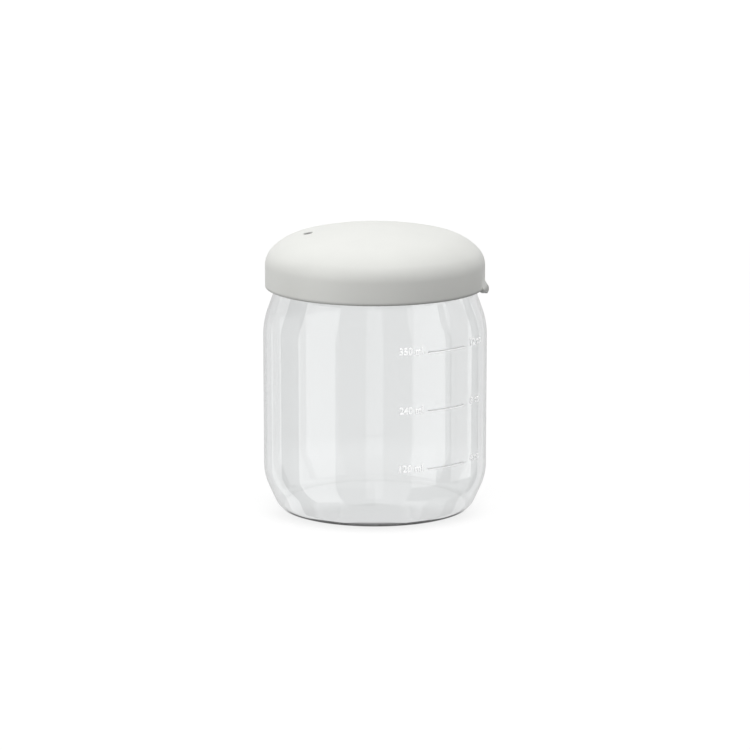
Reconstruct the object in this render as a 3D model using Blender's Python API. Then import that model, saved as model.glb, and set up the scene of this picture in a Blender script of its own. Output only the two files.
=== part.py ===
# Round glass storage jar with a push-on domed lid.
# Metres, +Z up. The origin is the centre of the ring that the jar stands on.
# +X points at the lid's pull tab, and the volume marks face -Y and +X.
import math

import bmesh
import bpy
from mathutils import Matrix

MM = 0.001

# Steps round the main axis, and steps in small arcs
turn_steps = 48
small_turn_steps = 24
corner_steps = 3
fillet_steps = 4
sweep_steps = 6

# Gaps between pieces, how far cutters pass what they cut, and the distance within which points are one
clearance = 0.3 * MM
cut_overrun = 2.0 * MM
weld_distance = 0.001 * MM

# Glass jar, outside
glass_radius = 44.5 * MM
glass_wall = 2.6 * MM
bearing_width = 2.4 * MM
heel_radius = 4.0 * MM
heel_slope = math.radians(24.3)
heel_blend_radius = 20.3 * MM
heel_height = 17.0 * MM
shoulder_start_height = 69.0 * MM
shoulder_radius = 31.0 * MM
shoulder_slope = math.radians(20.0)

# Glass jar, base and neck
push_up = 1.6 * MM
floor_thickness = 2.8 * MM
floor_crown = 0.4 * MM
floor_corner_radius = 5.0 * MM
neck_inset = 6.3 * MM
neck_fillet_radius = 4.0 * MM
neck_wall = 2.7 * MM
neck_length = 5.52 * MM
rim_bead_radius = 2.0 * MM
rim_lip_radius = 1.8 * MM

# Raised volume lines on the glass
mark_heights = (23.4 * MM, 46.5 * MM, 69.8 * MM)
mark_start = math.radians(-63.0)
mark_end = math.radians(-37.2)
mark_width = 0.5 * MM
mark_relief = 0.25 * MM
mark_root = 0.5 * MM

# Lid cover, outside
lid_inset = 0.9 * MM
lid_wall = 2.0 * MM
lid_overlap = 9.5 * MM
lid_side_height = 8.6 * MM
lid_shoulder_radius = 8.9 * MM
lid_shoulder_turn = math.radians(43.9)
lid_haunch_radius = 22.3 * MM
lid_haunch_turn = math.radians(76.7)
lid_edge_fillet = 0.6 * MM

# Lid cover, inside: the spigot that carries the seal, and the ribs that press on it
spigot_depth = 8.0 * MM
spigot_wall = 1.5 * MM
spigot_bead_height = 1.2 * MM
spigot_bead_relief = 0.9 * MM
rib_count = 12
rib_thickness = 1.4 * MM

# Pull tab on the lid's edge
tab_direction = math.radians(-4.0)
tab_width = 17.8 * MM
tab_height = 2.0 * MM
tab_reach = 1.6 * MM
tab_drop = 2.0 * MM
tab_bead_radius = 0.75 * MM

# Seal ring
seal_space = 2.5 * MM
seal_wall = 0.9 * MM
seal_flange_thickness = 1.5 * MM
seal_flange_width = 4.3 * MM
seal_fin_count = 2
seal_fin_thickness = 0.8 * MM
seal_fin_pitch = 2.0 * MM
seal_fin_droop = 0.5 * MM
seal_fin_depth = 4.0 * MM

# Vent and its valve
vent_direction = math.radians(188.0)
vent_margin = 0.7 * MM
vent_radius = 1.85 * MM
vent_roof = 1.0 * MM
boss_wall = 0.9 * MM
boss_lip_height = 0.8 * MM
boss_lip_width = 0.8 * MM
valve_radius = 3.0 * MM
valve_height = 2.2 * MM
valve_membrane = 0.8 * MM
valve_rim_width = 0.9 * MM
nose_wall = 0.65 * MM
nose_inset = 0.15 * MM
slit_length = 1.4 * MM
slit_width = 0.3 * MM


def arc(centre, radius, start, end, steps):
    """Points (radius, height) along an arc of the turned outline, both ends included."""
    angles = [start + (end - start) * i / steps for i in range(steps + 1)]
    return [(centre[0] + radius * math.cos(a), centre[1] + radius * math.sin(a)) for a in angles]


def solid_object(name, bm, smooth_angle=math.radians(30.0)):
    """A bmesh as a named object, its doubles merged and its faces pointing out."""
    bmesh.ops.remove_doubles(bm, verts=bm.verts, dist=weld_distance)
    bmesh.ops.recalc_face_normals(bm, faces=bm.faces)
    mesh = bpy.data.meshes.new(name)
    bm.to_mesh(mesh)
    bm.free()
    mesh.shade_smooth()
    mesh.set_sharp_from_angle(angle=smooth_angle)
    piece = bpy.data.objects.new(name, mesh)
    bpy.context.scene.collection.objects.link(piece)
    return piece


def turned(name, outline, steps=turn_steps, closed=False):
    """Turn an outline round Z. An open outline starts and ends on the axis."""
    bm = bmesh.new()
    verts = [bm.verts.new((r, 0, z)) for r, z in outline]
    edges = [bm.edges.new(pair) for pair in zip(verts, verts[1:])]
    if closed:
        edges.append(bm.edges.new((verts[-1], verts[0])))
    bmesh.ops.spin(
        bm, geom=verts + edges, cent=(0, 0, 0), axis=(0, 0, 1), angle=math.tau, steps=steps, use_merge=True
    )
    return solid_object(name, bm)


def swept(name, outline, start, end, steps=sweep_steps):
    """Sweep a filled outline round Z from one angle to another."""
    bm = bmesh.new()
    face = bm.faces.new([bm.verts.new((r * math.cos(start), r * math.sin(start), z)) for r, z in outline])
    geometry = [face, *face.edges, *face.verts]
    bmesh.ops.spin(
        bm, geom=geometry, cent=(0, 0, 0), axis=(0, 0, 1), angle=end - start, steps=steps, use_merge=False
    )
    return solid_object(name, bm)


def cylinder(name, radius, low, high, centre=(0, 0), steps=small_turn_steps):
    """An upright cylinder between two heights."""
    bm = bmesh.new()
    bmesh.ops.create_cone(
        bm, cap_ends=True, segments=steps, radius1=radius, radius2=radius, depth=high - low
    )
    bmesh.ops.translate(bm, verts=bm.verts, vec=(centre[0], centre[1], (low + high) / 2))
    return solid_object(name, bm)


def prism(name, outline, thickness, direction):
    """A plate whose outline lies in the upright plane through the axis at an angle."""
    bm = bmesh.new()
    face = bm.faces.new([bm.verts.new((r, -thickness / 2, z)) for r, z in outline])
    made = bmesh.ops.extrude_face_region(bm, geom=[face])
    moved = [v for v in made["geom"] if isinstance(v, bmesh.types.BMVert)]
    bmesh.ops.translate(bm, verts=moved, vec=(0, thickness, 0))
    bmesh.ops.rotate(bm, verts=bm.verts, cent=(0, 0, 0), matrix=Matrix.Rotation(direction, 3, "Z"))
    return solid_object(name, bm)


def combine(piece, other, operation):
    """Apply a Boolean with another object, then remove that object."""
    modifier = piece.modifiers.new(operation.title(), "BOOLEAN")
    modifier.operation = operation
    modifier.solver = "EXACT"
    modifier.object = other
    shape = bpy.data.meshes.new_from_object(
        piece.evaluated_get(bpy.context.evaluated_depsgraph_get())
    )
    piece.modifiers.clear()
    old_mesh = piece.data
    shape.name = old_mesh.name
    piece.data = shape
    bpy.data.meshes.remove(old_mesh)
    bpy.data.objects.remove(other)


def plain_material(name, colour, roughness, transmission=0.0):
    """A Principled material in the piece's own colour."""
    material = bpy.data.materials.new(name)
    material.use_nodes = True
    shader = material.node_tree.nodes["Principled BSDF"]
    shader.inputs["Base Color"].default_value = (*colour, 1.0)
    shader.inputs["Roughness"].default_value = roughness
    shader.inputs["Metallic"].default_value = 0.0
    shader.inputs["Transmission Weight"].default_value = transmission
    return material


# Places on the glass that follow from its sizes: arcs and slopes meet without a corner
blend_centre = (glass_radius - heel_blend_radius, heel_height)
blend_start = (
    blend_centre[0] + heel_blend_radius * math.cos(heel_slope),
    blend_centre[1] - heel_blend_radius * math.sin(heel_slope),
)
heel_end_height = heel_radius * (1 - math.sin(heel_slope))
bearing_outer_radius = (
    blend_start[0]
    - (blend_start[1] - heel_end_height) * math.tan(heel_slope)
    - heel_radius * math.cos(heel_slope)
)
bearing_inner_radius = bearing_outer_radius - bearing_width
shoulder_centre = (glass_radius - shoulder_radius, shoulder_start_height)
shoulder_end = (
    shoulder_centre[0] + shoulder_radius * math.cos(shoulder_slope),
    shoulder_centre[1] + shoulder_radius * math.sin(shoulder_slope),
)
neck_radius = glass_radius - neck_inset
neck_fillet_start_radius = neck_radius + neck_fillet_radius * (1 - math.cos(shoulder_slope))
neck_start_height = (
    shoulder_end[1]
    + (shoulder_end[0] - neck_fillet_start_radius) / math.tan(shoulder_slope)
    + neck_fillet_radius * math.sin(shoulder_slope)
)
rim_height = neck_start_height + neck_length
mouth_radius = neck_radius - neck_wall


def glass_outside():
    """From the centre of the underside, along the bearing ring and up to the neck."""
    underside = [
        (bearing_inner_radius * i / fillet_steps, push_up * (1 - (i / fillet_steps) ** 2))
        for i in range(fillet_steps)
    ]
    heel_centre = (bearing_outer_radius, heel_radius)
    heel = arc(heel_centre, heel_radius, -math.pi / 2, -heel_slope, fillet_steps)
    blend = arc(blend_centre, heel_blend_radius, -heel_slope, 0, corner_steps)
    shoulder = arc(shoulder_centre, shoulder_radius, 0, shoulder_slope, fillet_steps)
    neck_centre = (neck_radius + neck_fillet_radius, neck_start_height)
    neck = arc(neck_centre, neck_fillet_radius, math.pi + shoulder_slope, math.pi, corner_steps)
    return underside + [(bearing_inner_radius, 0)] + heel + blend + shoulder + neck


def glass_rim():
    """The rounded rim, from the neck's outside over the top to the mouth."""
    top_radius = mouth_radius + rim_lip_radius
    bead_centre = (top_radius, rim_height - rim_bead_radius)
    lip_centre = (top_radius, rim_height - rim_lip_radius)
    root = -math.acos((neck_radius - top_radius) / rim_bead_radius)
    bead = arc(bead_centre, rim_bead_radius, root, math.pi / 2, fillet_steps + corner_steps)
    lip = arc(lip_centre, rim_lip_radius, math.pi / 2, math.pi, corner_steps)
    return bead + lip[1:]


def glass_inside():
    """From the mouth down the inner wall to the centre of the floor."""
    shoulder = arc(shoulder_centre, shoulder_radius - glass_wall, shoulder_slope, 0, fillet_steps)
    cone_top = shoulder[0][1] + (shoulder[0][0] - mouth_radius) / math.tan(shoulder_slope)
    blend = arc(blend_centre, heel_blend_radius - glass_wall, 0, -heel_slope, corner_steps)
    floor_edge = push_up + floor_thickness - floor_crown
    corner_height = floor_edge + floor_corner_radius * (1 - math.sin(heel_slope))
    corner_radius = blend[-1][0] - (blend[-1][1] - corner_height) * math.tan(heel_slope)
    corner_centre = (corner_radius - floor_corner_radius * math.cos(heel_slope), floor_edge + floor_corner_radius)
    corner = arc(corner_centre, floor_corner_radius, -heel_slope, -math.pi / 2, fillet_steps)
    floor = [
        (corner_centre[0] * (1 - i / corner_steps), floor_edge + floor_crown * (i / corner_steps) ** 2)
        for i in range(1, corner_steps)
    ]
    return [(mouth_radius, cone_top)] + shoulder + blend + corner + floor + [(0, floor_edge + floor_crown)]


def wall_radius(height):
    """Outer radius of the glass at a height, on its side, its shoulder or above its heel."""
    rise = max(height - shoulder_start_height, 0)
    drop = max(heel_height - height, 0)
    shoulder_inset = shoulder_radius - math.sqrt(shoulder_radius ** 2 - rise ** 2)
    heel_inset = heel_blend_radius - math.sqrt(heel_blend_radius ** 2 - drop ** 2)
    return glass_radius - shoulder_inset - heel_inset


def make_glass_jar():
    jar = turned("glass_jar", glass_outside() + glass_rim() + glass_inside())
    for height in mark_heights:
        low, high = height - mark_width / 2, height + mark_width / 2
        inner, outer = wall_radius(height) - mark_root, wall_radius(height) + mark_relief
        section = [(inner, low), (outer, low), (outer, high), (inner, high)]
        combine(jar, swept("mark", section, mark_start, mark_end), "UNION")
    jar.data.materials.append(plain_material("clear_glass", (0.93, 0.95, 0.94), 0.02, 1.0))
    return jar


# Places on the lid: the dome is three arcs that meet without a corner
lid_radius = glass_radius - lid_inset
lid_edge_height = rim_height - lid_overlap
lid_side_top = lid_edge_height + lid_side_height
lid_shoulder_centre = (lid_radius - lid_shoulder_radius, lid_side_top)
haunch_centre = (
    lid_shoulder_centre[0] - (lid_haunch_radius - lid_shoulder_radius) * math.cos(lid_shoulder_turn),
    lid_shoulder_centre[1] - (lid_haunch_radius - lid_shoulder_radius) * math.sin(lid_shoulder_turn),
)
crown_radius = haunch_centre[0] / math.cos(lid_haunch_turn) + lid_haunch_radius
crown_centre = (0, haunch_centre[1] - haunch_centre[0] * math.tan(lid_haunch_turn))
lid_top_height = crown_centre[1] + crown_radius


def dome(inset, steps):
    """The dome's outline from the top of the side to the crown, moved inwards by inset."""
    shoulder = arc(lid_shoulder_centre, lid_shoulder_radius - inset, 0, lid_shoulder_turn, steps)
    haunch = arc(haunch_centre, lid_haunch_radius - inset, lid_shoulder_turn, lid_haunch_turn, steps)
    crown = arc(crown_centre, crown_radius - inset, lid_haunch_turn, math.pi / 2, steps)
    return shoulder + haunch[1:] + crown[1:-1] + [(0, crown_centre[1] + crown_radius - inset)]


def dome_height(radius, inset):
    """Height of the dome, moved inwards by inset, at a radius."""
    for centre, arc_radius, start in (
        (crown_centre, crown_radius, lid_haunch_turn),
        (haunch_centre, lid_haunch_radius, lid_shoulder_turn),
        (lid_shoulder_centre, lid_shoulder_radius, 0),
    ):
        if radius <= centre[0] + (arc_radius - inset) * math.cos(start):
            return centre[1] + math.sqrt((arc_radius - inset) ** 2 - (radius - centre[0]) ** 2)
    return lid_side_top


spigot_radius = mouth_radius - seal_space
spigot_inner_radius = spigot_radius - spigot_wall
spigot_bottom_height = rim_height - spigot_depth
seal_bottom = spigot_bottom_height + spigot_bead_height + clearance
seal_flange_bottom = rim_height + clearance
seal_top = seal_flange_bottom + seal_flange_thickness
rib_bottom = seal_top + clearance


def make_lid_cover():
    inner = dome(lid_wall, fillet_steps)
    bead_radius = spigot_radius + spigot_bead_relief
    spigot = [
        (spigot_inner_radius, dome_height(spigot_inner_radius, lid_wall)),
        (spigot_inner_radius, spigot_bottom_height),
        (bead_radius - spigot_bead_height / 2, spigot_bottom_height),
        (bead_radius, spigot_bottom_height + spigot_bead_height / 2),
        (bead_radius, spigot_bottom_height + spigot_bead_height),
        (spigot_radius, spigot_bottom_height + spigot_bead_height),
        (spigot_radius, dome_height(spigot_radius, lid_wall)),
    ]
    under_crown = [p for p in reversed(inner) if p[0] < spigot_inner_radius]
    under_side = [p for p in reversed(inner) if p[0] > spigot_radius]
    fillet_height = lid_edge_height + lid_edge_fillet
    skirt_inner = lid_radius - lid_wall
    inner_edge = arc(
        (skirt_inner + lid_edge_fillet, fillet_height), lid_edge_fillet, math.pi, 1.5 * math.pi, corner_steps
    )
    outer_edge = arc(
        (lid_radius - lid_edge_fillet, fillet_height), lid_edge_fillet, -math.pi / 2, 0, corner_steps
    )
    outline = under_crown + spigot + under_side + inner_edge + outer_edge + dome(0, fillet_steps + corner_steps)
    lid = turned("lid_cover", outline)
    add_ribs(lid)
    add_tab(lid)
    add_vent(lid)
    lid.data.materials.append(plain_material("matte_white_plastic", (0.83, 0.84, 0.81), 0.5))
    return lid


def add_ribs(lid):
    """Radial ribs between spigot and side, whose lower edges bear on the seal."""
    root = spigot_radius - spigot_wall / 2
    end = lid_radius - lid_wall / 2
    between = [p for p in dome(lid_wall / 2, fillet_steps) if root < p[0] < end]
    outline = [(root, rib_bottom), (end, rib_bottom)] + between + [(root, dome_height(root, lid_wall / 2))]
    for i in range(rib_count):
        combine(lid, prism("rib", outline, rib_thickness, math.tau * (i + 0.5) / rib_count), "UNION")


def add_tab(lid):
    """A crescent that flares out and down from the lid's edge and ends in a round bead."""
    bead_centre = (
        lid_radius + tab_reach - tab_bead_radius,
        lid_edge_height - tab_drop + tab_bead_radius,
    )
    root = lid_radius - lid_wall / 2
    half_angle = tab_width / 2 / lid_radius
    tab_top_height = lid_edge_height + tab_height
    flare = (tab_top_height - bead_centre[1]) / tab_reach
    section = [(root, tab_top_height + (lid_radius - root) * flare)]
    section += arc(bead_centre, tab_bead_radius, math.pi / 8, -math.pi, fillet_steps + corner_steps)
    section += [(root, lid_edge_height + lid_edge_fillet)]
    tab = swept("tab", section, tab_direction - half_angle, tab_direction + half_angle)
    low, high = bead_centre[1] - tab_bead_radius, section[0][1] + cut_overrun
    half_width = tab_width / 2
    curve_radius = (half_width ** 2 + tab_drop ** 2) / (2 * tab_drop)
    turn = math.asin(half_width / curve_radius)
    tongue = arc((0, low + curve_radius), curve_radius, -math.pi / 2 - turn, -math.pi / 2 + turn, 2 * fillet_steps)
    tongue += [(half_width, high), (-half_width, high)]
    bm = bmesh.new()
    start = root - cut_overrun
    face = bm.faces.new([bm.verts.new((start, y, z)) for y, z in tongue])
    made = bmesh.ops.extrude_face_region(bm, geom=[face])
    moved = [v for v in made["geom"] if isinstance(v, bmesh.types.BMVert)]
    reach = lid_radius + tab_reach + cut_overrun - start
    bmesh.ops.translate(bm, verts=moved, vec=(reach, 0, 0))
    bmesh.ops.rotate(bm, verts=bm.verts, cent=(0, 0, 0), matrix=Matrix.Rotation(tab_direction, 3, "Z"))
    combine(tab, solid_object("tongue", bm), "INTERSECT")
    combine(lid, tab, "UNION")


pocket_radius = valve_radius + clearance
boss_radius = pocket_radius + boss_wall
vent_distance = spigot_inner_radius - vent_margin - boss_radius
vent_centre = (vent_distance * math.cos(vent_direction), vent_distance * math.sin(vent_direction))
pocket_top = dome_height(vent_distance + boss_radius, lid_wall) + lid_wall - vent_roof
valve_top = pocket_top - clearance
pocket_bottom = valve_top - valve_height - clearance
boss_bottom = pocket_bottom - boss_lip_height


def add_vent(lid):
    """A boss under the dome that holds the valve, with the vent hole above it."""
    boss_top = dome_height(vent_distance + boss_radius, lid_wall / 2)
    combine(lid, cylinder("boss", boss_radius, boss_bottom, boss_top, vent_centre), "UNION")
    combine(lid, cylinder("pocket", pocket_radius, pocket_bottom, pocket_top, vent_centre), "DIFFERENCE")
    boss_mouth_radius = pocket_radius - boss_lip_width
    low = boss_bottom - cut_overrun
    combine(lid, cylinder("boss_mouth", boss_mouth_radius, low, valve_top, vent_centre), "DIFFERENCE")
    high = lid_top_height + cut_overrun
    combine(lid, cylinder("vent", vent_radius, valve_top, high, vent_centre), "DIFFERENCE")


# Seal ring on the spigot and valve in the boss

def make_seal_ring():
    inner = spigot_radius + clearance
    body = inner + seal_wall
    fin_tip = mouth_radius - clearance
    outline = [(inner, seal_top), (inner, seal_bottom), (body, seal_bottom)]
    for i in range(seal_fin_count):
        root = rim_height - seal_fin_depth + i * seal_fin_pitch
        outline += [
            (body, root),
            (fin_tip, root + seal_fin_droop),
            (fin_tip, root + seal_fin_droop + seal_fin_thickness / 2),
            (body, root + seal_fin_thickness),
        ]
    flange = inner + seal_flange_width
    outline += [(body, seal_flange_bottom), (flange, seal_flange_bottom), (flange, seal_top)]
    ring = turned("seal_ring", outline, closed=True)
    ring.data.materials.append(plain_material("seal_silicone", (0.80, 0.81, 0.80), 0.45))
    return ring


def make_vent_valve():
    """A cup in the pocket with a hollow nose that fills the vent hole, slit through its top."""
    hollow_radius = valve_radius - valve_rim_width
    nose_radius = vent_radius - clearance
    bore_radius = nose_radius - nose_wall
    bore_top = dome_height(vent_distance + nose_radius, nose_inset) - valve_membrane
    low, high = valve_top - valve_height - cut_overrun, lid_top_height + cut_overrun
    outline = [
        (0, high),
        (nose_radius, high),
        (nose_radius, valve_top),
        (valve_radius, valve_top),
        (valve_radius, valve_top - valve_height),
        (hollow_radius, valve_top - valve_height),
        (hollow_radius, valve_top - valve_membrane),
        (bore_radius, valve_top - valve_membrane),
        (bore_radius, bore_top),
        (0, bore_top),
    ]
    valve = turned("vent_valve", outline, steps=small_turn_steps)
    valve.data.transform(Matrix.Translation((*vent_centre, 0)))
    under_dome = [(0, lid_edge_height), (lid_radius - nose_inset, lid_edge_height)]
    under_dome += dome(nose_inset, fillet_steps + corner_steps)
    combine(valve, turned("under_dome", under_dome), "INTERSECT")
    inner_end, outer_end = vent_distance - slit_length / 2, vent_distance + slit_length / 2
    slit = [(inner_end, low), (outer_end, low), (outer_end, high), (inner_end, high)]
    combine(valve, prism("slit", slit, slit_width, vent_direction), "DIFFERENCE")
    valve.data.materials.append(plain_material("grey_silicone", (0.35, 0.35, 0.34), 0.6))
    return valve


for old in list(bpy.data.objects):
    bpy.data.objects.remove(old)

make_glass_jar()
make_lid_cover()
make_seal_ring()
make_vent_valve()
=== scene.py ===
# Glass storage jar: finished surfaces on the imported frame, metres, +Z up
import math

import bmesh
import bpy
from mathutils import Matrix, Vector


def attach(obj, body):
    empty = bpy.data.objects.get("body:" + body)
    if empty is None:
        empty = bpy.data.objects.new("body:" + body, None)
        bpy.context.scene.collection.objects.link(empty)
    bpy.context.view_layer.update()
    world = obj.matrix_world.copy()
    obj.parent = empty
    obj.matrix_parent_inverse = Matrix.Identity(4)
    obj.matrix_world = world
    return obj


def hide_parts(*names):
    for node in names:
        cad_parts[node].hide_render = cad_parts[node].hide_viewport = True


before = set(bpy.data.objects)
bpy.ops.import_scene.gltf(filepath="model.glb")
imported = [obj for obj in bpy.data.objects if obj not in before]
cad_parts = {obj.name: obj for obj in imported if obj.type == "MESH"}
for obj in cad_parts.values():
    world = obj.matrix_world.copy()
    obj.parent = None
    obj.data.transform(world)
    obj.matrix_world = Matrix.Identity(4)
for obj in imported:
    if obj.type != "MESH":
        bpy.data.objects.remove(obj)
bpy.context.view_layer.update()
print("frame loaded:", ", ".join(sorted(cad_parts)))

mm = 0.001
scene = bpy.context.scene
mergeGap = 0.002 * mm  # closer points of one mesh become one
overrun = 2.0 * mm  # how far a cutting tool reaches past what it cuts
sharpAngle = 40.0  # an edge between faces that turn more than this stays sharp


# Shader maths: one wrapped socket, so an expression on values adds its own Math nodes
class Wire:
    def __init__(self, tree, socket):
        self.tree = tree
        self.socket = socket

    def math(self, operation, other=None, swap=False):
        node = self.tree.nodes.new("ShaderNodeMath")
        node.operation = operation
        pair = [self, other] if not swap else [other, self]
        for slot, value in zip(node.inputs, pair):
            plug(self.tree, slot, value)
        return Wire(self.tree, node.outputs[0])

    def __add__(self, other):
        return self.math("ADD", other)

    def __radd__(self, other):
        return self.math("ADD", other, swap=True)

    def __sub__(self, other):
        return self.math("SUBTRACT", other)

    def __rsub__(self, other):
        return self.math("SUBTRACT", other, swap=True)

    def __mul__(self, other):
        return self.math("MULTIPLY", other)

    def __rmul__(self, other):
        return self.math("MULTIPLY", other, swap=True)

    def __truediv__(self, other):
        return self.math("DIVIDE", other)

    def __gt__(self, other):
        return self.math("GREATER_THAN", other)

    def __lt__(self, other):
        return self.math("LESS_THAN", other)

    def most(self, other):
        return self.math("MAXIMUM", other)

    def window(self, low, high, edge):
        half = edge / 2
        return self.smooth(low - half, low + half) * (1.0 - self.smooth(high - half, high + half))

    def smooth(self, low, high):
        node = self.tree.nodes.new("ShaderNodeMapRange")
        node.interpolation_type = "SMOOTHSTEP"
        plug(self.tree, node.inputs["From Min"], low)
        plug(self.tree, node.inputs["From Max"], high)
        self.tree.links.new(self.socket, node.inputs["Value"])
        return Wire(self.tree, node.outputs["Result"])


def plug(tree, slot, value):
    if value is None:
        return
    if isinstance(value, Wire):
        tree.links.new(value.socket, slot)
    elif isinstance(value, tuple) and slot.type == "RGBA" and len(value) == 3:
        slot.default_value = (*value, 1.0)
    else:
        slot.default_value = value


# A finish is a node tree with one method that adds any node
class Finish:
    def __init__(self, name, tree=None):
        if tree is None:
            self.material = bpy.data.materials.new(name)
            self.material.use_nodes = True
        self.tree = tree or self.material.node_tree
        self.tree.nodes.clear()

    def node(self, kind, output=0, settings=None, **values):
        made = self.tree.nodes.new("ShaderNode" + kind)
        for key, value in (settings or {}).items():
            setattr(made, key, value)
        for key, value in values.items():
            plug(self.tree, made.inputs[key.replace("_", " ")], value)
        return Wire(self.tree, made.outputs[output])

    def place(self, scale=(1.0, 1.0, 1.0)):
        coords = self.node("TexCoord", "Object")
        return self.node("Mapping", Vector=coords, Scale=scale)

    def noise(self, scale, detail, rough, stretch=(1.0, 1.0, 1.0)):
        place = self.place(stretch)
        return self.node("TexNoise", "Fac", Vector=place, Scale=scale, Detail=detail, Roughness=rough)

    def mix(self, factor, first, second):
        made = self.tree.nodes.new("ShaderNodeMix")
        made.data_type = "RGBA"
        plug(self.tree, made.inputs["Factor"], factor)
        plug(self.tree, [s for s in made.inputs if s.name == "A" and s.type == "RGBA"][0], first)
        plug(self.tree, [s for s in made.inputs if s.name == "B" and s.type == "RGBA"][0], second)
        return Wire(self.tree, [s for s in made.outputs if s.type == "RGBA"][0])

    def blend(self, factor, first, second):
        made = self.tree.nodes.new("ShaderNodeMixShader")
        for slot, value in zip(made.inputs, (factor, first, second)):
            plug(self.tree, slot, value)
        return Wire(self.tree, made.outputs[0])

    def bump(self, height, strength, distance):
        return self.node("Bump", Height=height, Strength=strength, Distance=distance)

    def finish(self, shader):
        out = self.tree.nodes.new("ShaderNodeOutputMaterial")
        self.tree.links.new(shader.socket, out.inputs["Surface"])
        return self.material


# Clear pressed glass, faintly wavy from the mould. The outer skin tints what shows through it and
# mirrors the studio, the inside barely does, as in the photograph
clearGlass = {
    "colour": (0.716, 0.724, 0.727),
    "inner": (0.995, 1.0, 0.998),
    "ior": 1.003,
    "innerIor": 1.0,
    "skinIor": 1.5,
    "skinOutside": 1.0,
    "skinInside": 0.0,
    "skinUnder": 0.03,
    "waveScale": 38.0,
    "waveDetail": (2.0, 0.4),
    "waveStretch": (1.0, 1.0, 0.35),
    "waveStrength": 0.008,
    "waveDepth": 0.6 * mm,
}


def clearGlassFinish(name, colour, ior, skin):
    f = Finish(name)
    wave = f.noise(clearGlass["waveScale"], *clearGlass["waveDetail"], clearGlass["waveStretch"])
    shader = f.node(
        "BsdfPrincipled",
        Base_Color=colour,
        Roughness=0.0,
        IOR=ior,
        Transmission_Weight=1.0,
        Coat_Weight=skin,
        Coat_Roughness=0.0,
        Coat_IOR=clearGlass["skinIor"],
        Normal=f.bump(wave, clearGlass["waveStrength"], clearGlass["waveDepth"]),
    )
    return f.finish(shader)


# Matte white plastic: fine moulded grain, slight mottling, and painted shade that darkens the lid's lower
# edge and its tab
matteWhite = {
    "colour": (0.845, 0.851, 0.818),
    "shade": (0.80, 0.807, 0.778),
    "ior": 1.46,
    "roughness": 0.46,
    "roughnessSpread": 0.08,
    "grainScale": 4200.0,
    "grainDetail": (2.0, 0.6),
    "grainStrength": 0.12,
    "grainDepth": 0.03 * mm,
    "mottleScale": 55.0,
    "mottleDetail": (4.0, 0.55),
    "mottleRange": (0.35, 0.75),
    "mottleShare": 0.35,
    "paintedEdgeShade": 0.55,
    "edgeLow": 88.4 * mm,
    "edgeHigh": 90.0 * mm,
}


def matteWhiteFinish():
    w = matteWhite
    f = Finish("matte_white_plastic")
    mottle = f.noise(w["mottleScale"], *w["mottleDetail"])
    height = f.node("SeparateXYZ", "Z", Vector=f.place())
    # Painted shade: below a set height the colour is mixed towards black, for the shadow along the lid's
    # lower edge and on its tab
    edge = (1.0 - height.smooth(w["edgeLow"], w["edgeHigh"])) * w["paintedEdgeShade"]
    plain = f.mix(mottle.smooth(*w["mottleRange"]) * w["mottleShare"], w["colour"], w["shade"])
    grain = f.noise(w["grainScale"], *w["grainDetail"])
    shader = f.node(
        "BsdfPrincipled",
        Base_Color=f.mix(edge, plain, (0.0, 0.0, 0.0)),
        Roughness=w["roughness"] + (mottle - 0.5) * w["roughnessSpread"] * 2.0,
        IOR=w["ior"],
        Normal=f.bump(grain, w["grainStrength"], w["grainDepth"]),
    )
    return f.finish(shader)


# Silicone: milky for the seal, grey for the valve
silicone = {
    "seal": (0.78, 0.79, 0.78),
    "sealDust": (0.70, 0.71, 0.69),
    "valve": (0.22, 0.22, 0.215),
    "valveDust": (0.28, 0.28, 0.27),
    "ior": 1.41,
    "roughness": 0.42,
    "roughnessSpread": 0.18,
    "dustScale": 320.0,
    "dustDetail": (5.0, 0.65),
    "dustRange": (0.45, 0.8),
    "dustStrength": 0.08,
    "dustDepth": 0.05 * mm,
}


def siliconeFinish(name, clean, dusty):
    s = silicone
    f = Finish(name)
    dust = f.noise(s["dustScale"], *s["dustDetail"])
    shader = f.node(
        "BsdfPrincipled",
        Base_Color=f.mix(dust.smooth(*s["dustRange"]), clean, dusty),
        Roughness=s["roughness"] + dust * s["roughnessSpread"],
        IOR=s["ior"],
        Normal=f.bump(dust, s["dustStrength"], s["dustDepth"]),
    )
    return f.finish(shader)


# Raised marks: pressed glass with a frosted face that reads white partly from painted glow, an emission
# standing in for light scattered through the glass; a darker finish with less glow is painted shade on the
# letters' sides and the lines' top halves
raisedMark = {
    "colour": (0.93, 0.935, 0.935),
    "shade": (0.86, 0.87, 0.87),
    "through": 0.55,
    "farPaintedGlow": 0.45,
    "paintedShade": (0.60, 0.61, 0.61),
    "paintedShadeFrost": (0.54, 0.55, 0.55),
    "paintedShadeGlow": 0.26,
    "ior": 1.5,
    "roughness": 0.38,
    "roughnessSpread": 0.2,
    "frostScale": 1800.0,
    "frostDetail": (3.0, 0.6),
    "frostStrength": 0.15,
    "frostDepth": 0.03 * mm,
}


def raisedMarkFinish(name, colour, shade, through):
    r = raisedMark
    f = Finish(name)
    frost = f.noise(r["frostScale"], *r["frostDetail"])
    shader = f.node(
        "BsdfPrincipled",
        Base_Color=f.mix(frost, colour, shade),
        Roughness=r["roughness"] + frost * r["roughnessSpread"],
        IOR=r["ior"],
        # Painted glow: an emission in the mark's own colour makes it read lit
        Emission_Color=colour,
        Emission_Strength=through,
        Normal=f.bump(frost, r["frostStrength"], r["frostDepth"]),
    )
    return f.finish(shader)


# Modelling helpers

def arc(centre, radius, start, end, steps):
    turns = [math.radians(start + (end - start) * i / steps) for i in range(steps + 1)]
    return [(centre[0] + radius * math.cos(a), centre[1] + radius * math.sin(a)) for a in turns]


def run(first, last, steps):
    return [
        (first[0] + (last[0] - first[0]) * i / steps, first[1] + (last[1] - first[1]) * i / steps)
        for i in range(1, steps)
    ]


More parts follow.
